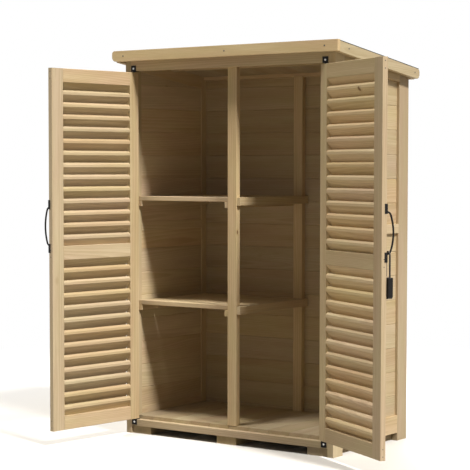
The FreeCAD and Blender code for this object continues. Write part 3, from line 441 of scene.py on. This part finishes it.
def wood(name, grain, seed, closed=None, number=None):
    """Dress one node in softwood, with its grain along an axis.

    A door's pin and turn lay its figure out as if it were closed, and a maker of numbers gives each
    of the node's boards a figure of its own.
    """
    material, n = new_material("wood_" + name)
    at = n.place()
    low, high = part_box(name)
    middle = (Vector(low) + Vector(high)) / 2
    if closed:
        pin, turn = closed
        inputs = {"Vector": at, "Center": pin, "Angle": turn}
        at = n.add("ShaderNodeVectorRotate", inputs, rotation_type="Z_AXIS").outputs[0]
        middle = pin + Matrix.Rotation(turn, 3, "Z") @ (middle - pin)
    local = n.parts(n.vector("SUBTRACT", at, middle))
    board = float(seed)
    if number:
        step, axis, offset = number(n, n.parts(at))
        board = n.maths("ADD", step, seed)
        local[axis] = offset
    order = {"x": (0, 1, 2), "y": (1, 2, 0), "z": (2, 0, 1)}[grain]
    place = n.add("ShaderNodeCombineXYZ", {i: local[axis] for i, axis in enumerate(order)}).outputs[0]
    group = n.add("ShaderNodeGroup", node_tree=SOFTWOOD)
    # The tone given here is partly painted light and shade.
    n.feed(group, {"Place": place, "Board": board, "Tone_with_painted_light": TONES_AND_PAINTED_LIGHT.get(name, 1.0)})
    figure = group.outputs
    n.surface({
        "Base Color": figure["Colour"], "Roughness": figure["Roughness"], "Specular IOR Level": WOOD_SHINE,
        "Normal": n.bump(WOOD_BUMP_STRENGTH, WOOD_BUMP, figure["Relief"], n.rounded(WOOD_EDGE)),
    })
    dress(material, name)


def roofing_felt():
    """Black mineral felt with fine granules."""
    material, n = new_material("roofing_felt")
    at = n.place()
    grains = n.add("ShaderNodeTexVoronoi", {"Vector": at, "Scale": FELT_GRAINS}).outputs
    patch = n.noise(at, FELT_PATCHES, detail=4.0)
    dust = n.spread(patch, FELT_DUST_RANGE, (0.0, FELT_DUST_STRENGTH))
    n.surface({
        "Base Color": n.mix(dust, n.ramp(n.parts(grains["Color"])[0], FELT_STOPS), opaque(FELT_DUST)),
        "Roughness": n.spread(patch, MOST, FELT_ROUGHNESS),
        "Specular IOR Level": FELT_SHINE,
        "Normal": n.bump(FELT_BUMP_STRENGTH, FELT_BUMP, grains["Distance"]),
    })
    return material


def coated_steel(name, colour, roughness, metallic=0.0, worn=(0.30, 0.29, 0.27), shine=0.5):
    """Steel with a fine coat, a little brighter where edges have rubbed."""
    material, n = new_material(name)
    at = n.place()
    fine = n.noise(at, METAL_GRAIN, detail=3.0)
    patch = n.noise(at, METAL_PATCHES, detail=4.0)
    edge = n.rounded(METAL_EDGE)
    plain = n.add("ShaderNodeNewGeometry").outputs["Normal"]
    bend = n.maths("SUBTRACT", 1.0, n.vector("DOT_PRODUCT", edge, plain))
    wear = n.maths("MULTIPLY", n.spread(bend, WEAR_BEND), n.spread(patch, WEAR_PATCHES))
    bright = [METAL_PATCH_GAIN * part for part in colour]
    base = n.mix(n.spread(patch, MIDDLE), opaque(colour), opaque(bright))
    n.surface({
        "Base Color": n.mix(n.maths("MULTIPLY", wear, WEAR_STRENGTH), base, opaque(worn)),
        "Metallic": metallic, "Specular IOR Level": shine,
        "Roughness": n.spread(fine, MIDDLE, (roughness - METAL_SMOOTHER, roughness + METAL_ROUGHER)),
        "Normal": n.bump(METAL_BUMP_STRENGTH, METAL_BUMP, fine, edge),
    })
    return material


def dress(material, *names):
    """Give CAD nodes a material."""
    for name in names:
        mesh = frame["nodes"][name].data
        mesh.materials.clear()
        mesh.materials.append(material)


def dress_body():
    """Posts, rails and wall boards, with the grain along each piece."""
    upright = ["back_left_stile", "back_right_stile", "divider_front_post", "divider_rear_batten"]
    across = ["front_bottom_rail", "lintel", "back_bottom_rail", "back_middle_rail", "back_top_rail"]
    deep = ["left_skid", "middle_skid", "right_skid"]
    for side in ("left", "right"):
        upright += [side + "_front_post", side + "_rear_post"]
        deep += [side + "_bottom_rail", side + "_middle_rail", side + "_top_rail"]
    for seed, (grain, names) in enumerate((("z", upright), ("x", across), ("y", deep))):
        for place, name in enumerate(names):
            wood(name, grain, FRAME_SEED_STEP * seed + place)
    courses = stepped(2, BOARD_DATUM, BOARD_PITCH)
    wood("back_boards", "x", BACK_SEED, number=courses)
    wood("left_wall_boards", "y", LEFT_SEED, number=courses)
    wood("right_wall_boards", "y", RIGHT_SEED, number=courses)


def rows_of(name, axis, count):
    """Board numbers of a node whose boards lie side by side along one axis."""
    low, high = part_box(name)
    return stepped(axis, low[axis], (high[axis] - low[axis]) / count)


def dress_layers():
    """Floor, shelves and roof, board by board."""
    layers = {
        "floor_boards": ("y", rows_of("floor_boards", 0, FLOOR_BOARDS)),
        "roof_boards": ("y", rows_of("roof_boards", 0, ROOF_BOARDS)),
        "upper_shelf_slats": ("x", rows_of("upper_shelf_slats", 1, SHELF_SLATS)),
        "lower_shelf_slats": ("x", rows_of("lower_shelf_slats", 1, SHELF_SLATS)),
        "upper_shelf_bearers": ("y", stepped(0, 0.0, BEARER_STEP)),
        "lower_shelf_bearers": ("y", stepped(0, 0.0, BEARER_STEP)),
        "floor_bearers": ("x", stepped(1, 0.0, BATTEN_STEP)),
        "roof_battens": ("x", stepped(1, 0.0, BATTEN_STEP)),
    }
    for place, (name, (grain, number)) in enumerate(layers.items()):
        wood(name, grain, LAYER_SEED + LAYER_SEED_STEP * place, number=number)
    fascias = {"front_fascia": "x", "rear_fascia": "x", "left_fascia": "y", "right_fascia": "y"}
    for place, (name, grain) in enumerate(fascias.items()):
        wood(name, grain, FASCIA_SEED + place)


def slat_rows(side):
    """A slat's slope, each row's lowest nose height and pitch, and the middle rail's lower edge."""
    slope = math.tan(math.radians(SLAT_TILT))
    part = side + "_door_"
    sill, middle, head = (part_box(part + rail) for rail in ("bottom_rail", "middle_rail", "top_rail"))
    first = SLAT_RAIL_GAP + (DOOR_THICKNESS - SLAT_NOSE_INSET) * slope
    rows = []
    for below, above, count in ((sill, middle, LOWER_SLATS), (middle, head, UPPER_SLATS)):
        bottom, top = below[1][2], above[0][2]
        rows.append((bottom + first, (top - bottom - first) / (count - 1)))
    return slope, rows, middle[0][2]


def slat_number(side):
    """Maker of a slat's number, counted along its slope so that each slat has one number."""
    slope, (lower, upper), middle = slat_rows(side)
    pin = joints[side + "_door_hinge"]["pos_m"]
    inner_face = pin[1] - PIN_SETBACK + DOOR_THICKNESS - SLAT_NOSE_INSET

    def number(n, axes):
        behind = n.maths("SUBTRACT", inner_face, axes[1])
        rise = n.maths("MULTIPLY", behind, slope)
        level = n.maths("ADD", n.maths("ADD", axes[2], rise), SLAT_MARGIN)
        is_upper = n.maths("GREATER_THAN", level, middle + 2 * DOOR_THICKNESS)
        start = n.spread(is_upper, WHOLE, (lower[0], upper[0]))
        pitch = n.spread(is_upper, WHOLE, (lower[1], upper[1]))
        turns = n.maths("DIVIDE", n.maths("SUBTRACT", level, start), pitch)
        slat = n.maths("ADD", n.maths("FLOOR", turns), n.maths("MULTIPLY", is_upper, UPPER_SLAT_SEED))
        from_middle = n.maths("SUBTRACT", n.maths("FRACT", turns), 0.5)
        return slat, 2, n.maths("MULTIPLY", from_middle, pitch)
    return number


def dress_doors():
    """Door frames and louvre slats, with the figure laid out as if each door were closed."""
    pieces = {
        "hinge_stile": "z", "lock_stile": "z", "bottom_rail": "x", "middle_rail": "x", "top_rail": "x",
    }
    for place, side in enumerate(("left", "right")):
        seed = DOOR_SEED + DOOR_SEED_STEP * place
        closed = closing(side)
        for step, (part, grain) in enumerate(pieces.items()):
            wood(f"{side}_door_{part}", grain, seed + step, closed)
        wood(side + "_door_slats", "x", seed + SLAT_SEED, closed, slat_number(side))


def dress_hardware():
    """Felt, metal fittings and small nails."""
    dress(roofing_felt(), "roof_felt")
    metals = {name: coated_steel(name, **look) for name, look in METALS.items()}
    black = metals["black_steel"]
    dress(black, "hinge_brackets", "left_door_handle", "right_door_handle", "padlock_body")
    dress(metals["shackle_steel"], "padlock_shackle")
    dress(metals["zinc"], "hinge_screws", "left_door_handle_screws", "right_door_handle_screws")
    dress(metals["dull_steel"], "fascia_nails")
    dress(metals["nickel"], "padlock_key_plug")
    felt_tacks(metals["dull_steel"])
    for side in ("left", "right"):
        door_brads(side, metals["dull_steel"])


def turned_solid(mesh, place, outward, outline):
    """Add a closed round solid to a mesh, from (radius, height) pairs along an outward direction."""
    to_outward = outward.to_track_quat("Z", "Y").to_matrix()
    rings = []
    for radius, height in outline:
        ring = []
        for step in range(HEAD_SIDES):
            angle = 2 * math.pi * step / HEAD_SIDES
            spot = Vector((radius * math.cos(angle), radius * math.sin(angle), height))
            ring.append(mesh.verts.new(place + to_outward @ spot))
        rings.append(ring)
    for low, high in zip(rings, rings[1:]):
        for step in range(HEAD_SIDES):
            after = (step + 1) % HEAD_SIDES
            mesh.faces.new((low[step], low[after], high[after], high[step]))
    mesh.faces.new(list(reversed(rings[0])))
    mesh.faces.new(rings[-1])


def nail_heads(name, places, radius, height, material, body):
    """Low domed heads at (place, outward) pairs, as one piece that rides on a body."""
    outline = [(across * radius, up * height) for across, up in HEAD_OUTLINE]
    mesh = bmesh.new()
    for place, outward in places:
        turned_solid(mesh, place, outward, outline)
    data = bpy.data.meshes.new(name)
    mesh.to_mesh(data)
    mesh.free()
    data.shade_smooth()
    data.materials.append(material)
    piece = bpy.data.objects.new(name, data)
    bpy.context.scene.collection.objects.link(piece)
    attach(piece, body)


def spaced(start, end):
    """Even places from start to end, no further apart than the tacks' spacing."""
    count = math.ceil((end - start).length / TACK_SPACING)
    return [start.lerp(end, step / count) for step in range(count + 1)]


def felt_tacks(material):
    """Flat tacks that hold the roofing felt down along its four edges."""
    low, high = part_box("roof_felt")
    fall = high[2] - low[2] - FELT_THICKNESS
    depth = high[1] - low[1]

    def on_felt(x, y):
        return Vector((x, y, high[2] - fall * (y - low[1]) / depth))

    x0, x1 = low[0] + TACK_INSET, high[0] - TACK_INSET
    y0, y1 = low[1] + TACK_INSET, high[1] - TACK_INSET
    front = spaced(on_felt(x0, y0), on_felt(x1, y0))
    rear = spaced(on_felt(x0, y1), on_felt(x1, y1))
    left = spaced(front[0], rear[0])[1:-1]
    right = spaced(front[-1], rear[-1])[1:-1]
    upwards = Vector((0.0, fall, depth)).normalized()
    places = [(place, upwards) for place in front + rear + left + right]
    nail_heads("felt_tacks", places, TACK_RADIUS, TACK_HEIGHT, material, "cabinet")


def door_brads(side, material):
    """Brads through the free edge of a door into the ends of its rails."""
    pin, turn = closing(side)
    across = 1.0 if side == "left" else -1.0
    opening = Matrix.Rotation(-turn, 3, "Z")
    outward = opening @ Vector((across, 0.0, 0.0))
    edge = opening @ Vector((across * (DOOR_WIDTH - PIN_INSET), DOOR_THICKNESS / 2 - PIN_SETBACK, 0.0))
    places = []
    for rail in ("bottom_rail", "middle_rail", "top_rail"):
        low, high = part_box(f"{side}_door_{rail}")
        for height in (low[2] + BRAD_INSET, high[2] - BRAD_INSET):
            places.append((pin + edge + Vector((0.0, 0.0, height)), outward))
    nail_heads(f"{side}_door_brads", places, BRAD_RADIUS, BRAD_HEIGHT, material, side + "_door")


def make_stage():
    """Pale floor that keeps the object's shadow and fades into the background."""
    bpy.ops.mesh.primitive_circle_add(vertices=FLOOR_SIDES, radius=FLOOR_RADIUS, fill_type="NGON")
    floor = bpy.context.object
    floor.name = "floor"
    material, n = new_material("pale_floor")
    away = n.vector("LENGTH", n.place())
    path = n.add("ShaderNodeLightPath").outputs
    seen = n.maths("MAXIMUM", path["Is Camera Ray"], path["Is Glossy Ray"])
    colour = n.mix(seen, opaque(FLOOR_BOUNCE), opaque(FLOOR_SEEN))
    matt = n.add("ShaderNodeBsdfDiffuse", {"Color": colour})
    glow = n.add("ShaderNodeEmission", {"Color": opaque(WHITE), "Strength": 1.0})
    fade = n.maths("MULTIPLY", n.spread(away, FLOOR_FADE), seen)
    blend = n.add("ShaderNodeMixShader", {0: fade, 1: matt.outputs[0], 2: glow.outputs[0]})
    n.add("ShaderNodeOutputMaterial", {"Surface": blend.outputs[0]})
    floor.data.materials.append(material)


def make_world():
    """Even pale sky light, seen as white."""
    world = bpy.data.worlds.new("studio")
    bpy.context.scene.world = world
    world.use_nodes = True
    n = Nodes(world.node_tree)
    path = n.add("ShaderNodeLightPath").outputs
    seen = n.maths("MAXIMUM", path["Is Camera Ray"], path["Is Glossy Ray"])
    seen = n.maths("MAXIMUM", seen, path["Is Transmission Ray"])
    light = n.add("ShaderNodeBackground", {"Color": opaque(SKY_COLOUR), "Strength": SKY_STRENGTH})
    white = n.add("ShaderNodeBackground", {"Color": opaque(WHITE), "Strength": 1.0})
    blend = n.add("ShaderNodeMixShader", {0: seen, 1: light.outputs[0], 2: white.outputs[0]})
    n.add("ShaderNodeOutputWorld", {"Surface": blend.outputs[0]})


def sun_lamp(name, turn, height, power, spread):
    """Distant soft lamp."""
    data = bpy.data.lights.new(name, "SUN")
    data.energy = power
    data.angle = math.radians(spread)
    data.color = LAMP_COLOUR
    lamp = bpy.data.objects.new(name, data)
    bpy.context.scene.collection.objects.link(lamp)
    turn, height = math.radians(turn), math.radians(height)
    level = math.cos(height)
    towards = Vector((math.sin(turn) * level, -math.cos(turn) * level, math.sin(height)))
    lamp.rotation_mode = "QUATERNION"
    lamp.rotation_quaternion = towards.to_track_quat("Z", "Y")


def make_lights():
    """Key from the front right, a weaker lamp from high on the front left, and a fill from behind."""
    for name, lamp in LAMPS.items():
        sun_lamp(name, **lamp)


def make_camera():
    """Camera at the photograph's viewing angle, with the small shift of its framing."""
    data = bpy.data.cameras.new("camera")
    data.sensor_width = SENSOR_WIDTH
    data.lens = FOCAL_PIXELS / PICTURE_SIDE * SENSOR_WIDTH
    data.shift_x = (PICTURE_SIDE / 2 - VIEW_AXIS_X) / PICTURE_SIDE
    data.shift_y = (VIEW_AXIS_Y - PICTURE_SIDE / 2) / PICTURE_SIDE
    camera = bpy.data.objects.new("camera", data)
    bpy.context.scene.collection.objects.link(camera)
    camera.location = CAMERA_PLACE
    camera.rotation_euler = (math.radians(90.0 - CAMERA_DIP), 0.0, math.radians(CAMERA_TURN))
    bpy.context.scene.camera = camera


dress_body()
dress_layers()
dress_doors()
dress_hardware()
make_stage()
make_world()
make_lights()
make_camera()
bpy.context.scene.view_settings.view_transform = "Standard"
